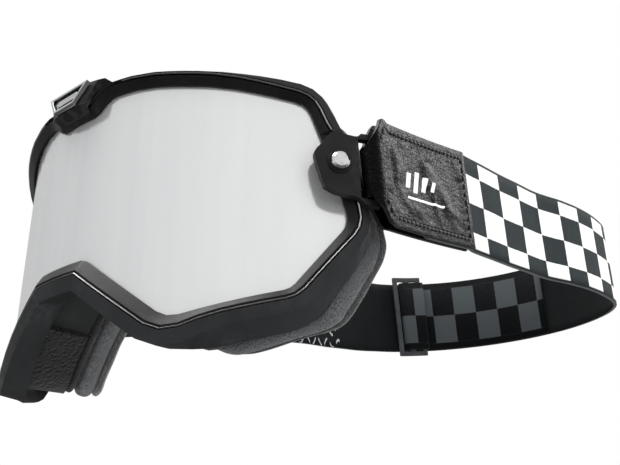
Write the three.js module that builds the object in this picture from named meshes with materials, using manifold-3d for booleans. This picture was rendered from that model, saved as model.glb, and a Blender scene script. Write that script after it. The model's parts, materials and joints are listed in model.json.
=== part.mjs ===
// Motorcycle goggles: one wide cylindrical lens in a soft frame, riveted outriggers,
// leather strap ends, an elastic woven strap and a sliding adjuster.
// Millimetres, +Z up. The wearer looks along -Y, the wearer's left is +X.
import * as THREE from 'three';
import { toCreasedNormals } from 'three/addons/utils/BufferGeometryUtils.js';
import ManifoldModule from 'manifold-3d';

const wasm = await ManifoldModule();
wasm.setup();
const { Manifold, Mesh: SolidMesh } = wasm;

// ---- driving dimensions -------------------------------------------------------------
const LENS_R = 97.2;            // radius of the lens cylinder
const LENS_T = 1.5;             // thickness of the lens sheet
const LENS_LAP = 1.4;           // how far the lens runs under the bezel
const FRAME_LEAN = -0.146;      // the frame leans back by this angle over a level strap
const GAP = 0.3;                // clearance between neighbouring pieces
const STEP = 8;                 // longest straight step along the outline
const SIDE_STEP = 3.6;          // and beside the outriggers

const BEZEL_W = 3.6;            // bezel width between lens opening and pinstripe
const BEZEL_H = 3.4;            // how far the bezel stands proud of the lens
const TRIM_W = 0.55;            // pinstripe width
const TRIM_H = 3.8;             // pinstripe crown above the lens surface
const RIDGE_OUT = 7.5;          // ridge between the two facets of the band outside the stripe
const RIDGE_H = 2.4;
const BAND_OUT = 12;            // outer edge of that band from the lens opening
const BAND_H = -5;              // outer edge of the band, behind the lens surface
// changes round the ring, one value each for brow, temple, side, lower edge and nose
const STRIPE_MORE = [-0.5, -1.2, -0.6, -0.8, 0.9];
const RIDGE_MORE = [-3.2, -2.0, -0.6, 0, 2.8];
const RIDGE_RISE = [0.6, 1.2, 1.8, 0, 0];
const BAND_MORE = [-2.6, -1.8, -1.4, -0.4, -3.6];
const STRIPE_HOOK = 3.2;        // the stripe ends turn outwards by this much at the outrigger
const SIDE_DIP = 1.7;           // the band lies lower by this much beside the outrigger and leather
const BAND_T = 1.8;             // thickness of the band's outer lip
const WALL_OUT = 3.8;           // outside of the wall that carries the foam
const WALL_IN = 0.9;            // inside of that wall

const FACE_Y = 40;              // the fleece touches the nose bridge this far behind the lens
const FACE_R = 104;             // radius of the face curve
const TAPER = 0.045;            // the frame narrows by this share towards the face
const FLEECE_T = 3.2;           // foam layers, face side first
const CORE_T = 8.0;
const BASE_T = 4.0;

const POD_TOP = 40.6;           // badge pod, heights along the frame
const POD_BOTTOM = 28.5;
const POD_HALF_TOP = 14.6;
const POD_HALF_BOTTOM = 8.2;
const BADGE_HALF_TOP = 11.3;
const BADGE_HALF_BOTTOM = 5.8;
const BADGE_TALL = 7.9;
const BADGE_T = 1.5;
const RIM_W = 1.0;

const PLATE_ANGLE = 56.7;       // where the outrigger sits round the lens cylinder, degrees
const PLATE_H = 6.3;            // middle of the plate above the lens surface
const PLATE_T = 2.6;
const STRAIGHT = 1.5;           // flat length of the plate behind the rivet
const ARM_R = 60;               // bend between plate and strap bar
const ARM_END = 63;             // heading of the bar end, degrees from +X
const WINDOW_FROM = 6.5;        // strap slot, measured along the plate from the rivet
const WINDOW_TO = 10.5;
const BAR_TO = 12.9;
const WINDOW_HALF = 10.0;       // half height of the slot
const BAR_HALF = 12.0;          // half height of the bar end
const BAR_Z = -2.4;             // middle of the bar along the frame
const RIVET_Z = -1.3;           // rivet height along the frame
const RIVET_R = 3.2;
const RIVET_TALL = 1.9;
const SHANK_R = 1.3;
const WASHER_R = 3.9;
const WASHER_T = 0.5;

const STRAP_Z = -2.0;           // strap centreline
const STRAP_W = 38.8;           // woven strap width
const STRAP_T = 1.6;
const STRAP_X0 = 90.4;          // strap half spacing beside the frame
const STRAP_Y0 = 60;
const STRAP_R = 71.4;           // radius of the round end behind the head
const STRAP_YC = 232.3;         // centre of that round end
const BAR_Y = 49.7;             // strap bar, level frame
const LEATHER_T = 1.3;
const LEATHER_FRONT = 17.8;     // half height of the leather behind the fold
const LEATHER_BACK = 19.3;      // half height at the sewn end
const LEATHER_LEN = 69.5;       // from the bar to the sewn end
const LEATHER_DROP = 7.6;       // the leather leans down by this much towards the bar
const FOLD_HALF = 8.8;          // half height where the leather folds round the bar
const FOLD_FLARE = 1.4;         // how fast the leather widens behind the fold
const FOLD_GAP = 2.45;          // inside radius of the fold
const FOLD_SLACK = 0.9;         // fold centre in front of the bar
const BAND_START = 34;          // strap end inside the leather, from the bar

const SLIDER_AT = 151;          // adjuster position round the back of the strap, degrees
const SLIDER_HALF = 22.6;
const SLIDER_T = 1.6;
const SLIDER_R = 67.5;
const RAIL_W = 2.6;
const SLOT_W = 4.2;
const MID_W = 3.2;
const TAIL_T = 1.4;
const TAIL_R = 69.5;
const TAIL_LEN = 80;

// ---- mesh building ------------------------------------------------------------------
function geometryOf(points, faces) {
  let volume = 0;
  const a = new THREE.Vector3(), b = new THREE.Vector3(), c = new THREE.Vector3();
  for (const f of faces) {
    a.copy(points[f[0]]); b.copy(points[f[1]]); c.copy(points[f[2]]);
    volume += a.dot(b.clone().cross(c));
  }
  const turned = volume < 0 ? faces.map((f) => [f[0], f[2], f[1]]) : faces;
  const g = new THREE.BufferGeometry();
  g.setAttribute('position', new THREE.Float32BufferAttribute(points.flatMap((p) => [p.x, p.y, p.z]), 3));
  g.setIndex(turned.flat());
  return g;
}

// Skin a row of equal sections; the first and last are capped unless the row is closed.
function sweep(sections, flat, closed) {
  const m = flat.length, n = sections.length;
  const points = sections.flat();
  const faces = [];
  const rows = closed ? n : n - 1;
  for (let i = 0; i < rows; i++) {
    const j = (i + 1) % n;
    for (let k = 0; k < m; k++) {
      const l = (k + 1) % m;
      faces.push([i * m + k, i * m + l, j * m + l], [i * m + k, j * m + l, j * m + k]);
    }
  }
  if (!closed) {
    const cap = THREE.ShapeUtils.triangulateShape(flat.map((p) => new THREE.Vector2(p[0], p[1])), []);
    const first = faces.length;
    for (const [p, q, r] of cap) faces.push([p, r, q], [p, q, r].map((v) => v + (n - 1) * m));
    // turn both caps when they run against the skin
    if (!capsAgree(faces, first)) for (let t = first; t < faces.length; t++) faces[t].reverse();
  }
  return geometryOf(points, faces);
}

// A bent plate of columns and levels with some cells left open as windows.
// levels(i) gives the heights at column i, open(i, k) the missing cells, at(i, side, z) a corner.
function windowed(columns, levels, open, at) {
  const points = [], faces = [];
  const rows = levels(0).length;
  for (let i = 0; i < columns; i++) {
    for (const side of [1, -1]) for (const z of levels(i)) points.push(at(i, side, z));
  }
  const id = (i, k, side) => i * 2 * rows + side * rows + k;
  const quad = (a, b, c, d) => faces.push([a, b, c], [a, c, d]);
  const solid = (i, k) => i >= 0 && k >= 0 && i + 1 < columns && k + 1 < rows && !open(i, k);
  for (let i = 0; i + 1 < columns; i++) {
    for (let k = 0; k + 1 < rows; k++) {
      if (!solid(i, k)) continue;
      const ring4 = [[i, k], [i + 1, k], [i + 1, k + 1], [i, k + 1]];
      quad(...ring4.map(([c, l]) => id(c, l, 0)));
      quad(...ring4.slice().reverse().map(([c, l]) => id(c, l, 1)));
      [[i, k - 1], [i + 1, k], [i, k + 1], [i - 1, k]].forEach(([ni, nk], e) => {
        if (solid(ni, nk)) return;
        const p = ring4[e], q = ring4[(e + 1) % 4];
        quad(id(...p, 1), id(...q, 1), id(...q, 0), id(...p, 0));
      });
    }
  }
  return geometryOf(points, faces);
}

// True when every edge of the first cap runs against its neighbour in the skin.
function capsAgree(faces, first) {
  const runs = new Set();
  for (let t = 0; t < first; t++) {
    const f = faces[t];
    for (let e = 0; e < 3; e++) runs.add(f[e] + '>' + f[(e + 1) % 3]);
  }
  for (let t = first; t < faces.length; t++) {
    const f = faces[t];
    for (let e = 0; e < 3; e++) if (runs.has(f[e] + '>' + f[(e + 1) % 3])) return false;
  }
  return true;
}

// ---- outline of the lens opening, unrolled: s along the curve, z up the frame -------
// [s, z, fillet radius, fillet steps], from the top centre round to the bottom centre.
const TOP_Z = 27.6, NOSE_Z = -26.6;
const CORNERS = [
  [10.0, 27.6, 4, 1], [16.4, 32.8, 8, 2], [31, 32.6, 60, 1], [60, 28.1, 110, 1],
  [87.0, 21.8, 7, 3], [93.4, 5.5, 30, 1], [101.4, -18.6, 7, 3], [83.2, -42.2, 6, 2],
  [45.8, -50.9, 9, 2], [12.3, -26.6, 4, 1],
];

function cross(a, b) { return a[0] * b[1] - a[1] * b[0]; }
function meet(p, d, q, e) {
  const t = cross([q[0] - p[0], q[1] - p[1]], e) / cross(d, e);
  return [p[0] + d[0] * t, p[1] + d[1] * t];
}

const BASE = [[0, TOP_Z], ...CORNERS.map((c) => [c[0], c[1]]), [0, NOSE_Z]];
const SIDE_EDGES = [5, 6];      // the edges that run down beside the outrigger, in finer steps
const EDGE_STEPS = BASE.slice(1).map((p, i) =>
  Math.max(1, Math.round(Math.hypot(p[0] - BASE[i][0], p[1] - BASE[i][1]) / (SIDE_EDGES.includes(i) ? SIDE_STEP : STEP))));

// Half outline grown outwards by `grow`.
function halfOutline(grow) {
  const lines = [];
  for (let i = 0; i + 1 < BASE.length; i++) {
    const d = [BASE[i + 1][0] - BASE[i][0], BASE[i + 1][1] - BASE[i][1]];
    const len = Math.hypot(...d);
    const u = [d[0] / len, d[1] / len];
    lines.push({ p: [BASE[i][0] - u[1] * grow, BASE[i][1] + u[0] * grow], u });
  }
  const pts = [[0, TOP_Z + grow]];
  for (let i = 1; i < lines.length; i++) pts.push(meet(lines[i - 1].p, lines[i - 1].u, lines[i].p, lines[i].u));
  pts.push([0, NOSE_Z - grow]);
  const out = [];
  let from = pts[0];
  for (let i = 1; i < pts.length; i++) {
    const corner = pts[i];
    const steps = EDGE_STEPS[i - 1];
    if (i === pts.length - 1) {
      for (let k = 0; k <= steps; k++) out.push(mix(from, corner, k / steps));
      break;
    }
    const u0 = lines[i - 1].u, u1 = lines[i].u;
    const turn = Math.asin(cross(u0, u1));
    const bulge = turn < 0 ? 1 : -1;
    const [, , r, n] = CORNERS[i - 1];
    const half = Math.tan(Math.abs(turn) / 2);
    const room = 0.48 * Math.min(Math.hypot(corner[0] - pts[i - 1][0], corner[1] - pts[i - 1][1]),
      Math.hypot(corner[0] - pts[i + 1][0], corner[1] - pts[i + 1][1]));
    const radius = Math.min(Math.max(r + bulge * grow, 0.8), room / half);
    const cut = radius * half;
    const a = [corner[0] - u0[0] * cut, corner[1] - u0[1] * cut];
    for (let k = 0; k < steps; k++) out.push(mix(from, a, k / steps));
    const centre = [a[0] + u0[1] * radius * bulge, a[1] - u0[0] * radius * bulge];
    for (let k = 0; k <= n; k++) {
      const t = (k / n) * turn;
      const v = [a[0] - centre[0], a[1] - centre[1]];
      const p = [centre[0] + v[0] * Math.cos(t) - v[1] * Math.sin(t),
        centre[1] + v[0] * Math.sin(t) + v[1] * Math.cos(t)];
      if (k < n) out.push(p); else from = p;
    }
  }
  return out;
}
function mix(a, b, t) { return [a[0] + (b[0] - a[0]) * t, a[1] + (b[1] - a[1]) * t]; }

// ---- placing a point of a section ---------------------------------------------------
function faceY(x) { return FACE_Y + FACE_R - Math.sqrt(FACE_R * FACE_R - x * x); }

// Share of brow, temple, side, lower edge and nose at a place on the opening.
function sharesAt([s, z]) {
  const rise = THREE.MathUtils.smoothstep;
  const up = rise(z, 6, 20), out = rise(s, 50, 85), wide = rise(s, 42, 62), mid = rise(z, -30, -16);
  return [up * (1 - out), up * out, (1 - up) * wide * mid, (1 - up) * wide * (1 - mid), (1 - up) * (1 - wide)];
}
function blend(values, shares) { return values ? values.reduce((sum, v, i) => sum + v * shares[i], 0) : 0; }
// How far the stripe has turned outwards behind the outrigger plate, 0 to 1, and how far
// the band has dipped beside plate and leather.
function sideStep([s, z], low, from, to, high) {
  const rise = THREE.MathUtils.smoothstep;
  return s > 80 ? rise(z, low, from) * (1 - rise(z, to, high)) : 0;
}
function hookAt(p) { return sideStep(p, -13, -8, 7, 12); }
function dipAt(p) { return sideStep(p, -36, -26, 7, 14); }

// sp: { off, h } on the front, or { off, back } counted from the face curve; `more` and
// `rise` change off and h round the ring, `hook` and `dip` act beside the outrigger.
function place(sz, sp) {
  const phi = sz[0] / LENS_R;
  if (sp.back === undefined) {
    return new THREE.Vector3((LENS_R + sp.h) * Math.sin(phi), LENS_R - (LENS_R + sp.h) * Math.cos(phi), sz[1]);
  }
  const x = (LENS_R - 4) * Math.sin(phi) * (1 - TAPER);
  return new THREE.Vector3(x, faceY(x) - sp.back, sz[1]);
}

function ringStations(section) {
  const base = halfOutline(0);
  const halves = section.map((sp) => halfOutline(sp.off));
  return base.map((b, i) => section.map((sp, k) => {
    const half = halves[k], p = half[i], shares = sharesAt(b);
    const before = half[i - 1] ?? [-half[1][0], p[1]], after = half[i + 1] ?? [-half[i - 1][0], p[1]];
    const d = [after[0] - before[0], after[1] - before[1]], len = Math.hypot(...d);
    const more = blend(sp.more, shares) + (sp.hook ?? 0) * hookAt(b);
    const h = sp.h === undefined ? undefined : sp.h + blend(sp.rise, shares) - (sp.dip ?? 0) * dipAt(b);
    return place([p[0] - (d[1] / len) * more, p[1] + (d[0] / len) * more], { ...sp, h });
  }));
}
function mirrorRow(row) { return row.map((p) => new THREE.Vector3(-p.x, p.y, p.z)); }
function flatOf(section) {
  return section.map((sp) => [sp.off, sp.back === undefined ? sp.h : -30 + (-sp.back)]);
}
function ring(section) {
  const right = ringStations(section);
  const left = right.slice(1, -1).reverse().map(mirrorRow);
  return sweep([...right, ...left], flatOf(section), true);
}
// A stretch of the ring on the +X side, between two stations, or mirrored, or across the middle.
function stretch(section, from, to, mode) {
  const right = ringStations(section);
  const part = right.slice(from, to + 1);
  if (mode === 'left') return sweep(part.map(mirrorRow), flatOf(section), false);
  if (mode === 'top') return sweep([...part.slice(1).reverse().map(mirrorRow), ...part], flatOf(section), false);
  if (mode === 'bottom') {
    return sweep([...part, ...part.slice(0, -1).reverse().map(mirrorRow)], flatOf(section), false);
  }
  return sweep(part, flatOf(section), false);
}
// Index of the half-outline station nearest to a place on the lens opening.
function stationAt(s, z) {
  const o = halfOutline(0);
  let best = 0;
  o.forEach((p, i) => {
    if (Math.hypot(p[0] - s, p[1] - z) < Math.hypot(o[best][0] - s, o[best][1] - z)) best = i;
  });
  return best;
}

// ---- frame ring pieces --------------------------------------------------------------
const TRIM_IN = BEZEL_W + GAP, TRIM_OUT = TRIM_IN + TRIM_W, BAND_IN = TRIM_OUT + GAP;
const SEAT = -LENS_T - GAP;

const stripe = { more: STRIPE_MORE, hook: STRIPE_HOOK };
const ridge = { more: RIDGE_MORE, hook: STRIPE_HOOK * 0.3, dip: SIDE_DIP };
const bezelSection = [
  { off: 0, h: GAP }, { off: 0, h: 1.2 }, { off: BEZEL_W - 0.5, ...stripe, h: BEZEL_H },
  { off: BEZEL_W, ...stripe, h: BEZEL_H - 0.5 }, { off: BEZEL_W, ...stripe, h: SEAT },
  { off: LENS_LAP + GAP, h: SEAT }, { off: LENS_LAP + GAP, h: GAP },
];
const shellSection = [
  { off: WALL_IN, h: SEAT - GAP }, { off: BAND_IN, ...stripe, h: SEAT - GAP },
  { off: BAND_IN, ...stripe, h: BEZEL_H + 0.2 }, { off: RIDGE_OUT, ...ridge, h: RIDGE_H, rise: RIDGE_RISE },
  { off: BAND_OUT, more: BAND_MORE, h: BAND_H }, { off: BAND_OUT - 0.4, more: BAND_MORE, h: BAND_H - BAND_T },
  { off: BAND_IN + 2.6, more: BAND_MORE, h: SEAT - 2.6 }, { off: WALL_OUT, h: SEAT - 2.8 },
  { off: WALL_OUT, back: FLEECE_T + CORE_T + BASE_T + 2 * GAP + GAP },
  { off: WALL_IN, back: FLEECE_T + CORE_T + BASE_T + 2 * GAP + GAP },
];
const trimSection = [
  { off: TRIM_IN, ...stripe, h: SEAT }, { off: TRIM_IN, ...stripe, h: TRIM_H - 0.4 },
  { off: (TRIM_IN + TRIM_OUT) / 2, ...stripe, h: TRIM_H }, { off: TRIM_OUT, ...stripe, h: TRIM_H - 0.4 },
  { off: TRIM_OUT, ...stripe, h: SEAT },
];
const baseBack = FLEECE_T + CORE_T + 2 * GAP;
const foamBaseSection = [
  { off: -1.0, back: baseBack + BASE_T }, { off: 5.2, back: baseBack + BASE_T },
  { off: 4.8, back: baseBack }, { off: -1.6, back: baseBack },
];
const coreBack = FLEECE_T + GAP;
const foamCoreSection = [
  { off: -2.0, back: coreBack + CORE_T }, { off: 4.4, back: coreBack + CORE_T },
  { off: 5.4, back: coreBack + CORE_T * 0.5 }, { off: 4.2, back: coreBack }, { off: -4.6, back: coreBack },
];
const fleeceSection = [
  { off: -5.0, back: FLEECE_T }, { off: 4.0, back: FLEECE_T }, { off: 4.0, back: FLEECE_T * 0.5 },
  { off: 1.6, back: 0 }, { off: -3.6, back: 0 }, { off: -5.4, back: FLEECE_T * 0.5 },
];
const ventSection = [
  { off: WALL_OUT + GAP, h: SEAT - 2.8 - GAP - 0.6 }, { off: WALL_OUT + 2.2, h: SEAT - 2.8 - GAP - 1.2 },
  { off: WALL_OUT + 1.4, back: baseBack + BASE_T + GAP }, { off: WALL_OUT + GAP, back: baseBack + BASE_T + GAP },
];

// ---- lens ---------------------------------------------------------------------------
function lensGeometry() {
  const edge = halfOutline(LENS_LAP);
  const reach = Math.max(...edge.map((p) => p[0])) - 0.25;
  const tipAt = edge.findIndex((p) => p[0] === Math.max(...edge.map((q) => q[0])));
  const upper = edge.slice(0, tipAt + 1), lower = edge.slice(tipAt);
  const zAt = (list, s) => {
    for (let i = 0; i + 1 < list.length; i++) {
      const [a, b] = [list[i], list[i + 1]];
      if ((a[0] - s) * (b[0] - s) <= 0 && a[0] !== b[0]) return a[1] + ((s - a[0]) / (b[0] - a[0])) * (b[1] - a[1]);
    }
    return list[list.length - 1][1];
  };
  const wanted = [...new Set(edge.map((p) => Math.round(p[0] * 100) / 100))].filter((s) => s >= 0 && s < reach);
  wanted.push(reach);
  wanted.sort((a, b) => a - b);
  const stops = [];
  for (const s of wanted) {
    if (stops.length && s - stops[stops.length - 1] < 0.9) { if (s === reach) stops.push(s); continue; }
    while (stops.length && s - stops[stops.length - 1] > 5.5) stops.push(stops[stops.length - 1] + 4);
    stops.push(s);
  }
  const full = [...stops.slice(1).reverse().map((s) => -s), ...stops];
  const sections = full.map((s) => {
    const zt = zAt(upper, Math.abs(s)), zb = zAt(lower, Math.abs(s));
    return [[zt, 0], [zb, 0], [zb, -LENS_T], [zt, -LENS_T]].map(([z, h]) => place([s, z], { h }));
  });
  return sweep(sections, [[0, 0], [1, 0], [1, 1], [0, 1]], false);
}

// ---- badge on the brow --------------------------------------------------------------
// Pod section in (z, h); the front is flat, and the back is cut to sit over bezel and band.
const POD = [
  { z: POD_BOTTOM, h: 0.5 }, { z: POD_BOTTOM + 0.2, h: 3.4, flat: true }, { z: 30.6, h: 6.4, flat: true },
  { z: 39.2, h: 4.9, flat: true }, { z: POD_TOP, h: 2.6, flat: true }, { z: POD_TOP, h: BAND_H + 1 },
];
const podCut = [
  { off: -1, h: -9 }, { off: -1, h: 1.2 + GAP }, { off: 0.2, h: 1.2 + GAP },
  { off: BEZEL_W - 0.6, ...stripe, h: TRIM_H + GAP }, { off: RIDGE_OUT + 0.6, ...ridge, h: TRIM_H + GAP },
  { off: BAND_OUT + GAP, more: BAND_MORE, h: BAND_H + GAP }, { off: BAND_OUT + GAP, more: BAND_MORE, h: -9 },
];
function podGeometry() {
  const sections = [];
  for (let i = -4; i <= 4; i++) {
    sections.push(POD.map((p) => {
      const half = POD_HALF_BOTTOM + (POD_HALF_TOP - POD_HALF_BOTTOM) * ((p.z - POD_BOTTOM) / (POD_TOP - POD_BOTTOM));
      const s = (i / 4) * half;
      if (p.flat) return new THREE.Vector3(s, -p.h + (Math.abs(i) === 4 ? 0.9 : 0), p.z);
      return place([s, p.z], { h: p.h });
    }));
  }
  return subtract(sweep(sections, POD.map((p) => [p.z, p.h]), false), ring(podCut));
}
const POD_LOW = POD[2], POD_HIGH = POD[3];
const BADGE_TILT = Math.atan2(POD_LOW.h - POD_HIGH.h, POD_HIGH.z - POD_LOW.z);
function trapezoid(inset) {
  const t = BADGE_TALL / 2 - inset;
  const slant = (BADGE_HALF_TOP - BADGE_HALF_BOTTOM) / BADGE_TALL;
  const at = (v) => (BADGE_HALF_TOP + BADGE_HALF_BOTTOM) / 2 + slant * v - inset * Math.hypot(1, slant);
  return [[-at(-t), -t], [at(-t), -t], [at(t), t], [-at(t), t]];
}
function shapeOf(points) { return new THREE.Shape(points.map((p) => new THREE.Vector2(p[0], p[1]))); }
function onBadge(geometry, lift) {
  geometry.rotateX(Math.PI / 2);                                // shape y -> +Z, thickness -> -Y
  geometry.translate(0, -lift, 0);
  geometry.rotateX(-BADGE_TILT);
  return geometry.translate(0, -(POD_LOW.h + POD_HIGH.h) / 2, (POD_LOW.z + POD_HIGH.z) / 2);
}
function badgeRimGeometry() {
  const shape = shapeOf(trapezoid(0));
  shape.holes.push(new THREE.Path(trapezoid(RIM_W).reverse().map((p) => new THREE.Vector2(p[0], p[1]))));
  return onBadge(new THREE.ExtrudeGeometry(shape, { depth: BADGE_T, bevelEnabled: false }), GAP);
}
function badgeInlayGeometry() {
  return onBadge(new THREE.ExtrudeGeometry(shapeOf(trapezoid(RIM_W + 0.25)), { depth: 0.5, bevelEnabled: false }), GAP);
}
function badgeMarkGeometry() {
  const mark = shapeOf([[-6.4, 0.2], [-4.6, -1.3], [4.6, -1.3], [6.4, 0.2], [5.2, 1.5], [-5.2, 1.5]]);
  return onBadge(new THREE.ExtrudeGeometry(mark, { depth: 0.4, bevelEnabled: false }), GAP + 0.5 + 0.1);
}

// ---- outriggers ---------------------------------------------------------------------
const RAD = Math.PI / 180;
const PLATE_C = [(LENS_R + PLATE_H) * Math.sin(PLATE_ANGLE * RAD), LENS_R - (LENS_R + PLATE_H) * Math.cos(PLATE_ANGLE * RAD)];
const ARC_LEN = ARM_R * (ARM_END - PLATE_ANGLE) * RAD;
function armAt(u) {
  const a0 = PLATE_ANGLE * RAD, a1 = ARM_END * RAD;
  if (u <= STRAIGHT) return { x: PLATE_C[0] + u * Math.cos(a0), y: PLATE_C[1] + u * Math.sin(a0), a: a0 };
  const end = [PLATE_C[0] + STRAIGHT * Math.cos(a0), PLATE_C[1] + STRAIGHT * Math.sin(a0)];
  const a = Math.min(a0 + (u - STRAIGHT) / ARM_R, a1);
  const p = [end[0] + ARM_R * (Math.sin(a) - Math.sin(a0)), end[1] - ARM_R * (Math.cos(a) - Math.cos(a0))];
  const rest = Math.max(0, u - STRAIGHT - ARC_LEN);
  return { x: p[0] + rest * Math.cos(a1), y: p[1] + rest * Math.sin(a1), a };
}
// [u, z bottom, z top] down the plate, the neck and the strap bar.
const PLATE = [
  [-8.1, 0.2, 1.6], [-7.4, -2.4, 2.9], [-6.0, -6.6, 4.6], [-4.7, -10.0, 6.5], [-2.8, -11.0, 9.0],
  [-1.0, -11.7, 9.8], [2.2, -12.2, 8.9], [WINDOW_FROM - 1.2, -12.4, 8.5],
  [WINDOW_FROM, BAR_Z - BAR_HALF + 1.2, BAR_Z + BAR_HALF - 1.0], [7.8, BAR_Z - BAR_HALF, BAR_Z + BAR_HALF],
  [WINDOW_TO, BAR_Z - BAR_HALF, BAR_Z + BAR_HALF], [BAR_TO - 0.6, BAR_Z - BAR_HALF, BAR_Z + BAR_HALF],
  [BAR_TO, BAR_Z - BAR_HALF + 0.6, BAR_Z + BAR_HALF - 0.6],
];
function outriggerGeometry() {
  const levels = (i) => {
    const [u, zb, zt] = PLATE[i];
    if (u >= WINDOW_FROM - 1e-6) return [zb, BAR_Z - WINDOW_HALF, BAR_Z + WINDOW_HALF, zt];
    const mid = (zb + zt) / 2, inside = (zt - zb) * 0.3;
    return [zb, mid - inside, mid + inside, zt];
  };
  const open = (i, k) => k === 1 && PLATE[i][0] >= WINDOW_FROM - 1e-6 && PLATE[i][0] < WINDOW_TO - 1e-6;
  const at = (i, side, z) => {
    const u = PLATE[i][0], t = (side * PLATE_T) / 2;
    const lean = THREE.MathUtils.smoothstep(u, 2, WINDOW_TO) * Math.tan(-FRAME_LEAN);
    const { x, y, a } = armAt(u);
    return new THREE.Vector3(x + Math.sin(a) * t, y - Math.cos(a) * t - lean * (z - BAR_Z), z);
  };
  const shank = onPlate(new THREE.CylinderGeometry(SHANK_R + GAP, SHANK_R + GAP, 8, 16), 0);
  return subtract(windowed(PLATE.length, levels, open, at), shank);
}
// Put a piece that was turned about +Y onto the plate at the rivet, `lift` above its middle.
function onPlate(geometry, lift) {
  const n = [Math.sin(PLATE_ANGLE * RAD), -Math.cos(PLATE_ANGLE * RAD)];
  const spin = new THREE.Quaternion().setFromUnitVectors(new THREE.Vector3(0, 1, 0), new THREE.Vector3(n[0], n[1], 0));
  geometry.applyQuaternion(spin);
  return geometry.translate(PLATE_C[0] + n[0] * lift, PLATE_C[1] + n[1] * lift, RIVET_Z);
}
function rivetGeometry() {
  const head = PLATE_T / 2 + GAP * 0.5 + WASHER_T + GAP * 0.5;
  const profile = [[0, -PLATE_T / 2], [SHANK_R, -PLATE_T / 2], [SHANK_R, head], [RIVET_R, head]];
  for (let i = 1; i <= 4; i++) {
    const t = (i / 4) * (Math.PI / 2);
    profile.push([i === 4 ? 0 : RIVET_R * Math.cos(t), head + 0.4 + (RIVET_TALL - 0.4) * Math.sin(t)]);
  }
  profile.splice(4, 0, [RIVET_R, head + 0.4]);
  return onPlate(new THREE.LatheGeometry(profile.map((p) => new THREE.Vector2(p[0], p[1])), 20), 0);
}
function washerGeometry() {
  const low = PLATE_T / 2 + GAP * 0.5, high = low + WASHER_T, bore = SHANK_R + GAP;
  const profile = [[bore, low], [WASHER_R, low], [WASHER_R, high - 0.15], [WASHER_R - 0.25, high], [bore, high], [bore, low]];
  return onPlate(new THREE.LatheGeometry(profile.map((p) => new THREE.Vector2(p[0], p[1])), 20), 0);
}

// ---- solids for cutting -------------------------------------------------------------
function toSolid(geometry) {
  const pos = geometry.attributes.position, index = geometry.index;
  const mesh = new SolidMesh({
    numProp: 3, vertProperties: Float32Array.from(pos.array),
    triVerts: index ? Uint32Array.from(index.array) : Uint32Array.from({ length: pos.count }, (_, i) => i),
  });
  mesh.merge();
  return new Manifold(mesh);
}
function subtract(a, b) {
  const mesh = toSolid(a).subtract(toSolid(b)).getMesh();
  const g = new THREE.BufferGeometry();
  const pos = [];
  for (let i = 0; i < mesh.vertProperties.length; i += mesh.numProp) pos.push(...mesh.vertProperties.slice(i, i + 3));
  g.setAttribute('position', new THREE.Float32BufferAttribute(pos, 3));
  g.setIndex([...mesh.triVerts]);
  return g;
}

// ---- strap and leather, level frame -------------------------------------------------
// Plan of the strap centreline on the +X side, by distance behind the bar.
function strapX(y) {
  const t = Math.min((y - STRAP_Y0) / (STRAP_YC - STRAP_Y0), 1);
  return STRAP_R + (STRAP_X0 - STRAP_R) * (1 - t) * (1 - t);
}
// Middle and half height of the leather, by distance behind the bar.
function leatherMid(d) { return STRAP_Z - LEATHER_DROP * (1 - Math.min(d / LEATHER_LEN, 1)); }
function leatherHalf(d) { return LEATHER_FRONT + (LEATHER_BACK - LEATHER_FRONT) * THREE.MathUtils.clamp(d / LEATHER_LEN, 0, 1); }
function strapAt(d) {
  const y = BAR_Y + d, e = 0.01;
  const dx = (strapX(y + e) - strapX(y - e)) / (2 * e), len = Math.hypot(dx, 1);
  return { x: strapX(y), y, nx: 1 / len, ny: -dx / len };
}
function arcAt(angle) {
  const a = angle * RAD;
  return { x: STRAP_R * Math.cos(a), y: STRAP_YC + STRAP_R * Math.sin(a), nx: Math.cos(a), ny: Math.sin(a) };
}
// Strip of constant thickness; each station is { x, y, nx, ny, low, high } with n the thickness side.
function strip(stations, thickness) {
  const sections = stations.map((p) => {
    const t = thickness / 2;
    return [[t, p.high], [t, p.low], [-t, p.low], [-t, p.high]].map(([o, z]) =>
      new THREE.Vector3(p.x + p.nx * o, p.y + p.ny * o, z));
  });
  return sweep(sections, [[0, 0], [1, 0], [1, 1], [0, 1]], false);
}
function leatherGeometry() {
  const gapAt = (d) => FOLD_GAP + (STRAP_T / 2 + GAP - FOLD_GAP) * THREE.MathUtils.smoothstep(d, 2.4, 9);
  const r = FOLD_GAP + LEATHER_T / 2, front = FOLD_SLACK + r * (Math.PI / 2);
  // the outer ply widens from the front of the fold, and the inner one from behind it
  const halfAt = (d, side) => Math.min(leatherHalf(d), FOLD_HALF + Math.max(0, d + (side > 0 ? front : FOLD_SLACK)) * FOLD_FLARE);
  const stops = [LEATHER_LEN, 60, 50, 40, 30, 21, 15, 11, 8.6, 6.6, 5.2, 3.4, 1.0, -FOLD_SLACK];
  const ply = (d, side) => {
    const p = strapAt(d), o = (gapAt(d) + LEATHER_T / 2) * side, mid = leatherMid(d), half = halfAt(d, side);
    return { x: p.x + p.nx * o, y: p.y + p.ny * o, nx: p.nx * side, ny: p.ny * side, low: mid - half, high: mid + half };
  };
  const stations = stops.map((d) => ply(d, 1));
  const c = strapAt(-FOLD_SLACK), mid = leatherMid(-FOLD_SLACK);
  for (let i = 1; i < 8; i++) {
    const t = (i / 8) * Math.PI, half = halfAt(-FOLD_SLACK - r * Math.min(t, Math.PI / 2), 1);
    const nx = c.nx * Math.cos(t) + c.ny * Math.sin(t), ny = c.ny * Math.cos(t) - c.nx * Math.sin(t);
    stations.push({ x: c.x + nx * r, y: c.y + ny * r, nx, ny, low: mid - half, high: mid + half });
  }
  stations.push(...stops.slice().reverse().map((d) => ply(d, -1)));
  return strip(stations, LEATHER_T);
}
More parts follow.
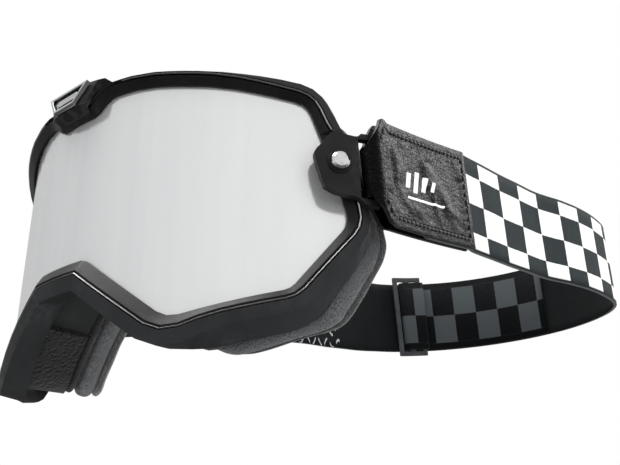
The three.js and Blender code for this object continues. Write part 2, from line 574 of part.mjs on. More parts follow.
function bandGeometry() {
  const low = STRAP_Z - STRAP_W / 2, high = STRAP_Z + STRAP_W / 2;
  const length = STRAP_YC - BAR_Y;
  const side = [];
  for (const d of [BAND_START, LEATHER_LEN - 14, LEATHER_LEN - 0.5]) {
    const half = leatherHalf(d) - 0.4;
    side.push({ ...strapAt(d), low: leatherMid(d) - half, high: leatherMid(d) + half });
  }
  for (let i = 0; i < 15; i++) side.push({ ...strapAt(LEATHER_LEN + 1 + ((length - LEATHER_LEN - 1) * i) / 15), low, high });
  const arc = [];
  for (let i = 0; i <= 30; i++) arc.push({ ...arcAt((180 * i) / 30), low, high });
  const other = side.slice().reverse().map((p) => ({ ...p, x: -p.x, nx: -p.nx }));
  return strip([...side, ...arc, ...other], STRAP_T);
}
// A point at `angle`, moved `along` the curve (towards falling angles) and standing at `radius`.
function backAt(radius, along, low, high, flip = 1) {
  const p = arcAt(SLIDER_AT - along / radius / RAD);
  const shift = radius - STRAP_R;
  return { x: p.x + p.nx * shift, y: p.y + p.ny * shift, nx: p.nx * flip, ny: p.ny * flip, low, high };
}
const SLIDER_W = 2 * RAIL_W + 2 * SLOT_W + MID_W;
function sliderGeometry() {
  const half = SLIDER_W / 2, slotHalf = STRAP_W / 2 + 0.8;
  const cuts = [-half, -half + RAIL_W, -MID_W / 2, MID_W / 2, half - RAIL_W, half];
  const rows = [STRAP_Z - SLIDER_HALF, STRAP_Z - slotHalf, STRAP_Z + slotHalf, STRAP_Z + SLIDER_HALF];
  return windowed(cuts.length, () => rows, (i, k) => k === 1 && i % 2 === 1, (i, side, z) => {
    const p = backAt(SLIDER_R, cuts[i], z, z), t = (side * SLIDER_T) / 2;
    return new THREE.Vector3(p.x + p.nx * t, p.y + p.ny * t, z);
  });
}
function tailGeometry() {
  const low = STRAP_Z - STRAP_W / 2 + 0.2, high = STRAP_Z + STRAP_W / 2 - 0.2;
  const inner = 2 * SLIDER_R - TAIL_R;
  const stations = [];
  const start = 9, turn = -MID_W / 2 - 0.3;
  for (const along of [start, 5, 1]) stations.push(backAt(inner, along, low, high, -1));
  const centre = backAt(SLIDER_R, turn, low, high);
  const tx = centre.ny, ty = -centre.nx;                        // towards falling angles
  for (let i = 0; i <= 6; i++) {
    const t = -Math.PI / 2 + (i / 6) * -Math.PI;
    const nx = Math.cos(t) * tx - Math.sin(t) * -centre.nx, ny = Math.cos(t) * ty - Math.sin(t) * -centre.ny;
    const r = TAIL_R - SLIDER_R;
    stations.push({ x: centre.x + nx * r, y: centre.y + ny * r, nx, ny, low, high });
  }
  for (let i = 1; i <= 12; i++) stations.push(backAt(TAIL_R, (TAIL_LEN * i) / 12, low, high));
  return strip(stations, TAIL_T);
}

// ---- materials ----------------------------------------------------------------------
const MATERIALS = {
  shell_rubber: [0x2f3032, 0.65, 0], bezel_black: [0x161718, 0.4, 0], stripe_silver: [0xc9cbcc, 0.3, 0.6],
  mirror_lens: [0xc4c7c9, 0.08, 0.95], pod_black: [0x1c1d1e, 0.45, 0], bright_chrome: [0xd8dadc, 0.12, 1],
  inlay_black: [0x0d0d0e, 0.25, 0], outrigger_black: [0x1d1e1f, 0.45, 0], base_foam: [0x1b1c1e, 0.95, 0],
  core_foam: [0x4c4e50, 0.95, 0], fleece: [0x202124, 1, 0], vent_foam: [0x111213, 1, 0],
  leather_black: [0x161515, 0.6, 0], strap_weave: [0x8f9696, 0.9, 0], tail_weave: [0x394043, 0.9, 0],
  slider_grey: [0x4a4d50, 0.5, 0],
};
function mesh(name, geometry, material, crease = 35) {
  const [color, roughness, metalness] = MATERIALS[material];
  const body = new THREE.Mesh(toCreasedNormals(geometry, crease * RAD),
    new THREE.MeshStandardMaterial({ name: material, color, roughness, metalness }));
  body.name = name;
  return body;
}
function mirrored(geometry) {
  const g = geometry.clone().applyMatrix4(new THREE.Matrix4().makeScale(-1, 1, 1));
  const index = g.index;
  if (index) {
    for (let i = 0; i < index.count; i += 3) {
      const b = index.getX(i + 1);
      index.setX(i + 1, index.getX(i + 2));
      index.setX(i + 2, b);
    }
    return g;
  }
  const pos = g.attributes.position;
  for (let i = 0; i < pos.count; i += 3) {
    for (const axis of ['X', 'Y', 'Z']) {
      const b = pos['get' + axis](i + 1);
      pos['set' + axis](i + 1, pos['get' + axis](i + 2));
      pos['set' + axis](i + 2, b);
    }
  }
  return g;
}

// ---- assembly -----------------------------------------------------------------------
const last = halfOutline(0).length - 1;
const upperFrom = stationAt(24, 32.6), upperTo = stationAt(92.5, 8.4);
const lowerFrom = stationAt(98.4, -9.4);
const ventTopTo = stationAt(82, 22.5), ventFrom = stationAt(76, -44), ventTo = stationAt(24, -35);

const frame = new THREE.Group();
frame.add(mesh('frame_shell', ring(shellSection), 'shell_rubber'));
frame.add(mesh('lens_bezel', ring(bezelSection), 'bezel_black'));
frame.add(mesh('lens', lensGeometry(), 'mirror_lens'));
frame.add(mesh('trim_upper_left', stretch(trimSection, upperFrom, upperTo, 'right'), 'stripe_silver'));
frame.add(mesh('trim_upper_right', stretch(trimSection, upperFrom, upperTo, 'left'), 'stripe_silver'));
frame.add(mesh('trim_lower', stretch(trimSection, lowerFrom, last, 'bottom'), 'stripe_silver'));
frame.add(mesh('badge_pod', podGeometry(), 'pod_black'));
frame.add(mesh('badge_rim', badgeRimGeometry(), 'bright_chrome'));
frame.add(mesh('badge_inlay', badgeInlayGeometry(), 'inlay_black'));
frame.add(mesh('badge_mark', badgeMarkGeometry(), 'bright_chrome'));
frame.add(mesh('vent_foam_top', stretch(ventSection, 0, ventTopTo, 'top'), 'vent_foam'));
frame.add(mesh('vent_foam_left', stretch(ventSection, ventFrom, ventTo, 'right'), 'vent_foam'));
frame.add(mesh('vent_foam_right', stretch(ventSection, ventFrom, ventTo, 'left'), 'vent_foam'));
frame.add(mesh('foam_base', ring(foamBaseSection), 'base_foam'));
frame.add(mesh('foam_core', ring(foamCoreSection), 'core_foam'));
frame.add(mesh('foam_fleece', ring(fleeceSection), 'fleece'));
for (const [side, make] of [['left', (g) => g], ['right', mirrored]]) {
  frame.add(mesh('outrigger_' + side, make(outriggerGeometry()), 'outrigger_black'));
  frame.add(mesh('rivet_washer_' + side, make(washerGeometry()), 'outrigger_black'));
  frame.add(mesh('rivet_' + side, make(rivetGeometry()), 'bright_chrome'));
}
frame.rotation.x = FRAME_LEAN;

const part = new THREE.Group();
part.name = 'motorcycle_goggles';
part.add(frame);
part.add(mesh('leather_end_left', leatherGeometry(), 'leather_black'));
part.add(mesh('leather_end_right', mirrored(leatherGeometry()), 'leather_black'));
part.add(mesh('strap_band', bandGeometry(), 'strap_weave'));
part.add(mesh('strap_slider', sliderGeometry(), 'slider_grey'));
part.add(mesh('strap_tail', tailGeometry(), 'tail_weave'));

// origin: middle of the bounding box in plan, lowest point on z = 0
const root = new THREE.Group();
root.name = 'motorcycle_goggles_root';
root.add(part);
root.updateMatrixWorld(true);
const box = new THREE.Box3().setFromObject(root, true);
part.position.set(-(box.min.x + box.max.x) / 2, -(box.min.y + box.max.y) / 2, -box.min.z);
root.updateMatrixWorld(true);

export default root;
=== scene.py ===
import json
import math
import random

import bmesh
import bpy
from mathutils import Matrix, Vector, noise
from mathutils.bvhtree import BVHTree


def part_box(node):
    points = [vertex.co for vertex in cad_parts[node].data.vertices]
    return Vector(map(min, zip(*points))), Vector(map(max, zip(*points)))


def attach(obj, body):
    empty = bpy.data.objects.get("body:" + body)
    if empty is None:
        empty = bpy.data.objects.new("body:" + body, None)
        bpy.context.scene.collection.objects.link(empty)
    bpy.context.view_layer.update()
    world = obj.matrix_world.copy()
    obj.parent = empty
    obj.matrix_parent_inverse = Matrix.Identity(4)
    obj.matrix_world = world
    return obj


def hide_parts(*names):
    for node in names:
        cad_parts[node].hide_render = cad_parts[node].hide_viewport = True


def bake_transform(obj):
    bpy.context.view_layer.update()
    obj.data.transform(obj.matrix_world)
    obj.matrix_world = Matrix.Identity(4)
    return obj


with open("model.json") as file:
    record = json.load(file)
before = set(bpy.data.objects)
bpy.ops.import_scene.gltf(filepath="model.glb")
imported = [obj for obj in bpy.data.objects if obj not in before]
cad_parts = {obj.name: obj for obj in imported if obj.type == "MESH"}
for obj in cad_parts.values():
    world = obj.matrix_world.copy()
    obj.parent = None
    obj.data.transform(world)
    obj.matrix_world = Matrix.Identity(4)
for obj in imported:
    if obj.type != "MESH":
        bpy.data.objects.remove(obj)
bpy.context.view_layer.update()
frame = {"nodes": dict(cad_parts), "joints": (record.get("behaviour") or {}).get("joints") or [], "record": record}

NODES = frame["nodes"]
RECORD = frame["record"]
SCENE = bpy.context.scene
MM = 0.001
RNG = random.Random(7)

JOINTS = {j["name"]: j for j in frame["joints"]}
BAR = Vector(JOINTS["strap_tilt"]["pos_m"])
BACK = Vector(JOINTS["adjuster_travel"]["pos_m"])
BAND_LO, BAND_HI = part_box("strap_band")
BAND_T = 1.6 * MM
BAND_HALF = 19.4 * MM
MID_Z = BAND_HI.z - BAND_HALF    # middle of the level part of the strap
BACK_R = BAND_HI.y - BACK.y - BAND_T / 2
LEATHER_T = 1.3 * MM
LEATHER_LO, LEATHER_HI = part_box("leather_end_left")
LEATHER_FRONT, LEATHER_BACK = 17.8 * MM, 19.3 * MM
LEATHER_END = LEATHER_HI.y
LEATHER_LEN = LEATHER_END - BAR.y
BAND_SQUARE = (17.8 * MM, 11.8 * MM)     # along and across the visible run
TAIL_SQUARE = (12.7 * MM, 15.8 * MM)     # and on the doubled back end


# ------------------------------------------------------------------ materials
class Look:
    """A small wrapper that keeps node set-up short."""

    def __init__(self, name):
        self.mat = bpy.data.materials.new(name)
        self.mat.use_nodes = True
        self.nt = self.mat.node_tree
        self.bsdf = self.nt.nodes["Principled BSDF"]
        self.heights = []

    def node(self, kind, **values):
        n = self.nt.nodes.new(kind)
        for key, value in values.items():
            if key in n.inputs:
                n.inputs[key].default_value = value
            else:
                setattr(n, key, value)
        return n

    def link(self, a, b):
        self.nt.links.new(a, b)

    def coords(self, scale=(1, 1, 1), kind="Object"):
        tc = self.node("ShaderNodeTexCoord")
        mp = self.node("ShaderNodeMapping")
        mp.inputs["Scale"].default_value = scale
        self.link(tc.outputs[kind], mp.inputs["Vector"])
        return mp.outputs["Vector"]

    def noise(self, size, detail=3.0, rough=0.55, stretch=(1, 1, 1)):
        n = self.node("ShaderNodeTexNoise", Scale=1 / size, Detail=detail, Roughness=rough)
        self.link(self.coords(stretch), n.inputs["Vector"])
        return n.outputs["Fac"]

    def voronoi(self, size, feature="F1", smooth=None):
        n = self.node("ShaderNodeTexVoronoi", feature=feature)
        n.inputs["Scale"].default_value = 1 / size
        self.link(self.coords(), n.inputs["Vector"])
        return n.outputs["Distance"]

    def math(self, op, a, b=None, c=None):
        n = self.node("ShaderNodeMath", operation=op)
        for socket, v in zip(n.inputs, (a, b, c)):
            if v is None:
                continue
            if isinstance(v, (int, float)):
                socket.default_value = v
            else:
                self.link(v, socket)
        return n.outputs[0]

    def remap(self, value, lo, hi, out_lo=0.0, out_hi=1.0):
        n = self.node("ShaderNodeMapRange")
        n.inputs["From Min"].default_value = lo
        n.inputs["From Max"].default_value = hi
        n.inputs["To Min"].default_value = out_lo
        n.inputs["To Max"].default_value = out_hi
        self.link(value, n.inputs["Value"])
        return n.outputs["Result"]

    def mix(self, fac, a, b):
        n = self.node("ShaderNodeMix", data_type="RGBA")
        for socket, v in ((n.inputs["Factor"], fac), (n.inputs[6], a), (n.inputs[7], b)):
            if isinstance(v, (int, float)):
                socket.default_value = v
            elif isinstance(v, tuple):
                socket.default_value = (*v, 1) if len(v) == 3 else v
            else:
                self.link(v, socket)
        return n.outputs[2]

    def colour(self, value):
        if isinstance(value, tuple):
            self.bsdf.inputs["Base Color"].default_value = (*value, 1)
        else:
            self.link(value, self.bsdf.inputs["Base Color"])

    def rough(self, value):
        if isinstance(value, (int, float)):
            self.bsdf.inputs["Roughness"].default_value = value
        else:
            self.link(value, self.bsdf.inputs["Roughness"])

    def set(self, **values):
        for key, value in values.items():
            self.bsdf.inputs[key.replace("_", " ")].default_value = value

    def bump(self, height, depth, strength=1.0):
        """Stack a height (0 to 1) that stands `depth` metres tall."""
        b = self.node("ShaderNodeBump", Strength=strength, Distance=depth)
        self.link(height, b.inputs["Height"])
        if self.heights:
            self.link(self.heights[-1], b.inputs["Normal"])
        self.heights.append(b.outputs["Normal"])
        self.link(b.outputs["Normal"], self.bsdf.inputs["Normal"])

    def worn_edge(self, base, worn, amount=0.5):
        """Lighten convex edges a little, as handled rubber and plastic do."""
        g = self.node("ShaderNodeNewGeometry")
        edge = self.remap(g.outputs["Pointiness"], 0.53, 0.62)
        patchy = self.math("MULTIPLY", edge, self.remap(self.noise(2.5 * MM), 0.4, 0.65))
        return self.mix(self.math("MULTIPLY", patchy, amount), base, worn)


def shell_look():
    k = Look("shell_rubber")
    tone = k.mix(k.remap(k.noise(14 * MM, 4), 0.3, 0.7), (0.017, 0.018, 0.019), (0.024, 0.025, 0.026))
    k.colour(k.worn_edge(tone, (0.05, 0.052, 0.055)))
    k.rough(k.remap(k.noise(3 * MM), 0.3, 0.7, 0.48, 0.62))
    k.set(Specular_IOR_Level=0.13, Sheen_Weight=0.01, Sheen_Roughness=0.4)
    k.bump(k.voronoi(0.42 * MM), 0.03 * MM, 0.5)
    k.bump(k.noise(0.9 * MM, 4), 0.035 * MM, 0.5)
    return k.mat


def satin_look(name, dark, light, rough=0.36):
    k = Look(name)
    tone = k.mix(k.remap(k.noise(9 * MM, 4), 0.3, 0.7), dark, light)
    k.colour(k.worn_edge(tone, tuple(3 * c for c in light), 0.4))
    k.rough(k.remap(k.noise(1.6 * MM), 0.3, 0.7, rough - 0.05, rough + 0.08))
    k.set(Specular_IOR_Level=0.15)
    k.bump(k.noise(0.35 * MM, 3), 0.02 * MM, 0.5)
    return k.mat


def lens_look():
    k = Look("mirror_lens")
    # faint vertical streaks painted into the lens colour: a painted reflection of the studio in the curved mirror
    band = k.noise(11 * MM, 2, 0.5, stretch=(1, 0.4, 0.02))
    k.colour(k.mix(k.remap(band, 0.3, 0.7), (0.74, 0.745, 0.75), (0.78, 0.783, 0.786)))
    k.set(Metallic=0.62, Coat_Weight=0.1, Coat_Roughness=0.05)
    k.rough(k.remap(k.noise(7 * MM, 4), 0.3, 0.7, 0.10, 0.16))
    return k.mat


def chrome_look(name, tone, rough):
    k = Look(name)
    k.colour(k.mix(k.remap(k.noise(2 * MM), 0.35, 0.7), tone, tuple(0.86 * c for c in tone)))
    k.set(Metallic=1.0)
    k.rough(k.remap(k.noise(0.5 * MM, 4), 0.3, 0.7, rough * 0.7, rough * 1.5))
    k.bump(k.noise(1.2 * MM, 3), 0.01 * MM, 0.3)
    return k.mat


def leather_look():
    k = Look("leather_black")
    pebble = k.voronoi(1.5 * MM, "SMOOTH_F1")
    crease = k.voronoi(1.5 * MM, "DISTANCE_TO_EDGE")
    valley = k.remap(crease, 0.02, 0.16)
    scuff = k.remap(k.noise(4 * MM, 5, 0.7), 0.55, 0.75)
    # the tone is darker along the grain creases: painted shade that shows the pebble relief
    tone = k.mix(valley, (0.0006, 0.0006, 0.0006), (0.0018, 0.0018, 0.0017))
    k.colour(k.mix(k.math("MULTIPLY", scuff, valley), tone, (0.009, 0.009, 0.0088)))
    k.rough(k.math("ADD", k.remap(valley, 0, 1, 0.5, 0.34), k.remap(k.noise(4 * MM), 0.3, 0.7, -0.05, 0.07)))
    k.set(Specular_IOR_Level=0.07)
    seam = k.node("ShaderNodeAttribute", attribute_name="seam").outputs["Fac"]
    away = k.math("ABSOLUTE", k.math("SUBTRACT", seam, SEAM_IN))
    k.bump(k.remap(away, 0.0, 0.9 * MM), 0.45 * MM, 0.9)
    k.bump(k.noise(5.5 * MM, 3, 0.6, stretch=(1, 0.45, 1.8)), 0.7 * MM, 0.6)
    k.bump(k.math("SUBTRACT", valley, k.math("MULTIPLY", pebble, 0.6)), 0.10 * MM, 0.6)
    return k.mat


def cut_edge_look():
    k = Look("leather_edge")
    k.colour(k.mix(k.noise(0.8 * MM, 4), (0.004, 0.004, 0.004), (0.016, 0.015, 0.015)))
    k.rough(0.5)
    k.bump(k.noise(0.6 * MM, 4, stretch=(1, 0.15, 1)), 0.06 * MM, 0.7)
    return k.mat


def thread_look():
    k = Look("thread_black")
    k.colour(k.mix(k.noise(0.4 * MM), (0.006, 0.006, 0.006), (0.028, 0.028, 0.028)))
    k.rough(0.55)
    k.set(Sheen_Weight=0.3)
    k.bump(k.noise(0.25 * MM, 3, stretch=(1, 1, 2)), 0.05 * MM, 0.6)
    return k.mat


def weave_look(name, light, dark, edge, size, middle, border, contrast_noise=0.12):
    """Woven elastic with a chequer of `size`, laid out by the sheet's own coordinates in metres.

    `middle` is the across coordinate of the middle of the strap, and `border` the plain edge."""
    k = Look(name)
    uv = k.node("ShaderNodeUVMap", uv_map="sheet")
    sep = k.node("ShaderNodeSeparateXYZ")
    k.link(uv.outputs["UV"], sep.inputs[0])
    along, across = sep.outputs["X"], sep.outputs["Y"]
    ragged = k.math("MULTIPLY", k.math("SUBTRACT", k.noise(0.5 * MM, 2), 0.5), 0.55 * MM)
    u = k.math("FLOOR", k.math("DIVIDE", k.math("ADD", along, ragged), size[0]))
    v = k.math("FLOOR", k.math("DIVIDE", k.math("ADD", across, ragged), size[1]))
    square = k.math("ABSOLUTE", k.math("MODULO", k.math("ADD", u, v), 2.0))
    pick = k.math("SINE", k.math("MULTIPLY", along, 2 * math.pi / (0.62 * MM)))
    warp = k.math("SINE", k.math("MULTIPLY", across, 2 * math.pi / (0.80 * MM)))
    thread = k.math("MULTIPLY", pick, warp)
    fleck = k.remap(k.noise(0.45 * MM, 3), 0.3, 0.7)
    shade = k.math("ADD", k.math("MULTIPLY", thread, 0.14), k.math("MULTIPLY", fleck, contrast_noise))
    white = k.mix(k.math("ADD", shade, 0.1), light, tuple(0.62 * c for c in light))
    slate = k.mix(k.math("ADD", shade, 0.1), dark, tuple(2.2 * c for c in dark))
    body = k.mix(square, slate, white)
    off_middle = k.math("ABSOLUTE", k.math("SUBTRACT", across, middle))
    rim = k.remap(off_middle, BAND_HALF - border - 0.4 * MM, BAND_HALF - border)
    body = k.mix(rim, body, edge)
    k.colour(body)
    k.rough(k.remap(k.noise(2 * MM), 0.3, 0.7, 0.78, 0.92))
    k.set(Sheen_Weight=0.05, Sheen_Roughness=0.45, Specular_IOR_Level=0.12)
    k.bump(k.remap(thread, -1, 1), 0.10 * MM, 0.8)
    k.bump(k.remap(pick, -1, 1), 0.05 * MM, 0.6)
    k.bump(k.noise(6 * MM, 3), 0.25 * MM, 0.5)
    return k.mat


def lining_look():
    """Plain black reverse of the strap with rows of silicone grip dashes near the adjuster."""
    k = Look("strap_reverse")
    uv = k.node("ShaderNodeUVMap", uv_map="sheet")
    sep = k.node("ShaderNodeSeparateXYZ")
    k.link(uv.outputs["UV"], sep.inputs[0])
    along, across = sep.outputs["X"], sep.outputs["Y"]
    pick = k.math("SINE", k.math("MULTIPLY", along, 2 * math.pi / (0.62 * MM)))
    warp = k.math("SINE", k.math("MULTIPLY", across, 2 * math.pi / (0.80 * MM)))
    thread = k.math("MULTIPLY", pick, warp)
    tone = k.mix(k.remap(k.noise(0.5 * MM, 3), 0.3, 0.7), (0.0025, 0.003, 0.0035), (0.008, 0.009, 0.010))
    wave = k.math("SINE", k.math("MULTIPLY", along, 2 * math.pi / (9 * MM)))
    row = k.math("ABSOLUTE", k.math("SINE", k.math("ADD", k.math("MULTIPLY", across, math.pi / (7 * MM)), wave)))
    line = k.remap(row, 0.93, 0.97)
    dash = k.remap(k.math("SINE", k.math("MULTIPLY", along, 2 * math.pi / (5 * MM))), -0.35, -0.15)
    here = k.math("MULTIPLY", k.remap(along, GRIP_FROM, GRIP_FROM + 2 * MM), k.remap(along, GRIP_TO, GRIP_TO + 2 * MM, 1, 0))
    grip = k.math("MULTIPLY", k.math("MULTIPLY", line, dash), here)
    k.colour(k.mix(grip, tone, (0.42, 0.44, 0.45)))
    k.rough(k.remap(grip, 0, 1, 0.85, 0.3))
    k.set(Sheen_Weight=0.02, Specular_IOR_Level=0.15)
    k.bump(k.remap(thread, -1, 1), 0.10 * MM, 0.8)
    k.bump(grip, 0.35 * MM, 1.0)
    return k.mat


def foam_look(name, dark, light, cell, depth, sheen=0.1):
    k = Look(name)
    pores = k.voronoi(cell, "F1")
    # the pore hollows are painted darker than the cell walls: painted shade in the pores
    tone = k.mix(k.remap(pores, 0.15, 0.6), dark, light)
    k.colour(k.mix(k.remap(k.noise(6 * MM, 4), 0.35, 0.7), tone, tuple(0.72 * c for c in light)))
    k.rough(0.95)
    k.set(Sheen_Weight=sheen, Sheen_Roughness=0.6, Specular_IOR_Level=0.2)
    k.bump(k.remap(pores, 0.0, 0.6), depth, 0.9)
    k.bump(k.noise(cell * 3, 5, 0.7), depth * 1.5, 0.7)
    return k.mat


def fleece_look():
    k = Look("fleece")
    fibre = k.noise(0.5 * MM, 6, 0.75)
    tuft = k.noise(2.2 * MM, 4, 0.65)
    k.colour(k.mix(k.remap(fibre, 0.35, 0.68), (0.004, 0.004, 0.005), (0.040, 0.041, 0.044)))
    k.rough(1.0)
    k.set(Sheen_Weight=0.65, Sheen_Roughness=0.55, Specular_IOR_Level=0.1)
    k.bump(fibre, 0.5 * MM, 1.0)
    k.bump(tuft, 0.9 * MM, 0.7)
    return k.mat


def print_look():
    k = Look("print_white")
    worn = k.remap(k.noise(0.9 * MM, 5, 0.7), 0.34, 0.40)
    k.colour(k.mix(worn, (0.25, 0.25, 0.25), (0.80, 0.80, 0.79)))
    k.rough(0.5)
    k.bump(k.noise(1.3 * MM, 3), 0.1 * MM, 0.6)
    return k.mat


def floor_look():
    k = Look("pale_floor")
    k.colour(k.mix(k.remap(k.noise(0.6, 3), 0.3, 0.7), (0.86, 0.86, 0.86), (0.90, 0.90, 0.90)))
    k.rough(0.8)
    return k.mat


# ------------------------------------------------------------------ strap paths
def band_curve():
    """The band's side runs in along x = BACK_R + bow * (distance ahead of the round end) squared."""
    ahead = BACK.y - BAND_LO.y
    return (BAND_HI.x - BAND_T / 2 - BACK_R) / ahead ** 2


BOW = band_curve()


def side_at(y):
    """Point and outward normal of the strap centreline on the +X side, at a depth y ahead of the round end."""
    ahead = BACK.y - y
    slope = -2 * BOW * ahead
    size = math.hypot(1, slope)
    return Vector((BACK_R + BOW * ahead ** 2, y, 0)), Vector((1 / size, -slope / size, 0))


def band_path(step):
    """Centreline from the wearer's left leather end, round the back, to the right one: points, normals, lengths."""
    points, normals = [], []
    count = round((BACK.y - BAND_LO.y) / step)
    for i in range(count):
        p, n = side_at(BAND_LO.y + (BACK.y - BAND_LO.y) * i / count)
        points.append(p)
        normals.append(n)
    arcs = round(math.pi * BACK_R / step)
    mirror = [(Vector((-p.x, p.y, 0)), Vector((-n.x, n.y, 0))) for p, n in zip(points, normals)]
    for i in range(arcs + 1):
        a = math.pi * i / arcs
        d = Vector((math.cos(a), math.sin(a), 0))
        points.append(Vector((0, BACK.y, 0)) + d * BACK_R)
        normals.append(d)
    for p, n in reversed(mirror):
        points.append(p)
        normals.append(n)
    lengths = [0.0]
    for a, b in zip(points, points[1:]):
        lengths.append(lengths[-1] + (b - a).length)
    return points, normals, lengths


def smooth(t):
    t = min(max(t, 0.0), 1.0)
    return t * t * (3 - 2 * t)


def add_object(name, verts, faces, mats, face_mats=None, uvs=None):
    me = bpy.data.meshes.new(name)
    me.from_pydata([tuple(v) for v in verts], [], faces)
    for m in mats:
        me.materials.append(m)
    if face_mats:
        me.polygons.foreach_set("material_index", face_mats)
    if uvs:
        layer = me.uv_layers.new(name="sheet")
        for loop in me.loops:
            layer.data[loop.index].uv = uvs[loop.vertex_index]
    me.polygons.foreach_set("use_smooth", [True] * len(me.polygons))
    me.validate()
    o = bpy.data.objects.new(name, me)
    SCENE.collection.objects.link(o)
    return o


def simulate(o, frames, cap, pin=None, pressure=0.0, grow=0.0, bend=0.5, stretch=15.0, outward=None):
    """Run cloth on the mesh, keep the result within `cap` of where each point began, and leave no modifier."""
    rest = [v.co.copy() for v in o.data.vertices]
    mod = o.modifiers.new("Cloth", "CLOTH")
    s = mod.settings
    s.quality = 5
    s.mass = 0.15
    s.tension_stiffness = s.compression_stiffness = stretch
    s.shear_stiffness = stretch / 2
    s.bending_stiffness = bend
    s.effector_weights.gravity = 0
    s.shrink_min = -grow
    if pressure:
        s.use_pressure = True
        s.uniform_pressure_force = pressure
    if pin:
        group = o.vertex_groups.new(name="held")
        for i, w in enumerate(pin):
            if w > 0:
                group.add([i], w, "REPLACE")
        s.vertex_group_mass = "held"
    mod.collision_settings.use_collision = False
    for f in range(1, frames + 1):
        SCENE.frame_set(f)
    ev = o.evaluated_get(bpy.context.evaluated_depsgraph_get())
    moved = [v.co.copy() for v in ev.to_mesh().vertices]
    ev.to_mesh_clear()
    o.modifiers.remove(mod)
    SCENE.frame_set(1)
    for i, (v, a, b) in enumerate(zip(o.data.vertices, rest, moved)):
        d = b - a
        if outward:
            depth = d.dot(outward[i])
            if depth < -0.15 * MM:
                d -= outward[i] * (depth + 0.15 * MM)
        if d.length > cap:
            d *= cap / d.length
        v.co = a + d
    o.data.update()


def apply_modifiers(o):
    ev = o.evaluated_get(bpy.context.evaluated_depsgraph_get())
    me = bpy.data.meshes.new_from_object(ev)
    o.modifiers.clear()
    o.data = me
    me.polygons.foreach_set("use_smooth", [True] * len(me.polygons))


# ------------------------------------------------------------------ CAD nodes that keep their shape
def dress(name, mat, bevel=0.0):
    o = NODES[name]
    o.data.materials.clear()
    o.data.materials.append(mat)
    if bevel:
        weld = o.modifiers.new("weld", "WELD")
        weld.merge_threshold = 0.01 * MM
        b = o.modifiers.new("bevel", "BEVEL")
        b.width = bevel
        b.segments = 2
        b.limit_method = "ANGLE"
        b.angle_limit = math.radians(28)
        b.harden_normals = False
        w = o.modifiers.new("normals", "WEIGHTED_NORMAL")
        w.keep_sharp = False
        w.weight = 80
    return o


# ------------------------------------------------------------------ leather ends
SEAM_IN = 3.2 * MM
FOLD_R = (2.45 + 1.3 / 2) * MM
FOLD_AHEAD = 0.9 * MM
FOLD_HALF = 8.4 * MM
FLARE = 1.4
PLY_GAP = BAND_T / 2 + 0.3 * MM


def leather_mid(d):
    """Height of the leather's middle: it rises from the bar to the level strap."""
    return BAR.z + (MID_Z - BAR.z) * min(d / LEATHER_LEN, 1)


def full_half(d):
    return LEATHER_FRONT + (LEATHER_BACK - LEATHER_FRONT) * min(max(d / LEATHER_LEN, 0), 1)


FOLD_FRONT = FOLD_AHEAD + FOLD_R * math.pi / 2     # from the bar to the front of the fold, round the outside


def leather_half(d, ply):
    """Half height at a distance d behind the bar: narrow at the fold, cut corners, then full."""
    start = FOLD_FRONT if ply > 0 else FOLD_AHEAD
    return min(full_half(d), FOLD_HALF + max(0.0, d + start) * FLARE)


def ply_offset(d):
    return (FOLD_R - LEATHER_T / 2) + (PLY_GAP - (FOLD_R - LEATHER_T / 2)) * smooth((d - 2.4 * MM) / (6.6 * MM)) + LEATHER_T / 2


def leather_end(side, mats):
    rows, across = [], 27
    length = LEATHER_LEN
    n_side = 48
    stops = [length * (1 - i / n_side) - FOLD_AHEAD * (i / n_side) for i in range(n_side + 1)]
    for d in stops:
        p, n = side_at(BAR.y + d)
        rows.append((p + n * ply_offset(d), n, d, 1))
    centre, n0 = side_at(BAR.y - FOLD_AHEAD)
    forward = Vector((n0.y, -n0.x, 0))
    for i in range(1, 14):
        a = math.pi * i / 14
        d = n0 * math.cos(a) + forward * math.sin(a)
        rows.append((centre + d * FOLD_R, d, -FOLD_AHEAD - FOLD_R * a, 0))
    for d in reversed(stops):
        p, n = side_at(BAR.y + d)
        rows.append((p - n * ply_offset(d), -n, d, -1))
    verts, faces, seam, pin, outward, zone = [], [], [], [], [], []
    for p, n, d, ply in rows:
        half = leather_half(d, ply) if ply else leather_half(max(d, -FOLD_FRONT), 1)
        for j in range(across + 1):
            t = j / across * 2 - 1
            z = t * half
            verts.append(Vector((side * p.x, p.y, leather_mid(d) + z)))
            inset = min(half - abs(z), length - d)
            if ply:
                start = FOLD_FRONT if ply > 0 else FOLD_AHEAD
                if d < (LEATHER_FRONT - FOLD_HALF) / FLARE + 6 * MM:
                    line = (FOLD_HALF + (d + start) * FLARE - abs(z)) / math.hypot(1, FLARE)
                    inset = min(inset, line)
            else:
                inset = 20 * MM
            seam.append(inset)
            outward.append(Vector((side * n.x, n.y, 0)))
            free = smooth((inset - 3.4 * MM) / (4 * MM)) * smooth((d - 0.5 * MM) / (4 * MM)) if ply == 1 else 0.0
            pin.append(1.0 - free)
    w = across + 1
    for i in range(len(rows) - 1):
        for j in range(across):
            q = [i * w + j, i * w + j + 1, (i + 1) * w + j + 1, (i + 1) * w + j]
            faces.append(q if side < 0 else q[::-1])
    name = "leather_wrap_" + ("left" if side > 0 else "right")
    o = add_object(name, verts, faces, mats)
    simulate(o, 22, 1.0 * MM, pin=pin, grow=0.028, bend=0.15, stretch=25, outward=outward)
    attr = o.data.attributes.new("seam", "FLOAT", "POINT")
    attr.data.foreach_set("value", seam)
    s = o.modifiers.new("thick", "SOLIDIFY")
    s.thickness = LEATHER_T
    s.offset = 0
    s.material_offset_rim = 1
    b = o.modifiers.new("soft_edge", "BEVEL")
    b.width = 0.3 * MM
    b.segments = 2
    b.limit_method = "ANGLE"
    b.angle_limit = math.radians(50)
    apply_modifiers(o)
    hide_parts("leather_end_left" if side > 0 else "leather_end_right")
    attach(o, "strap_ends")
    return o


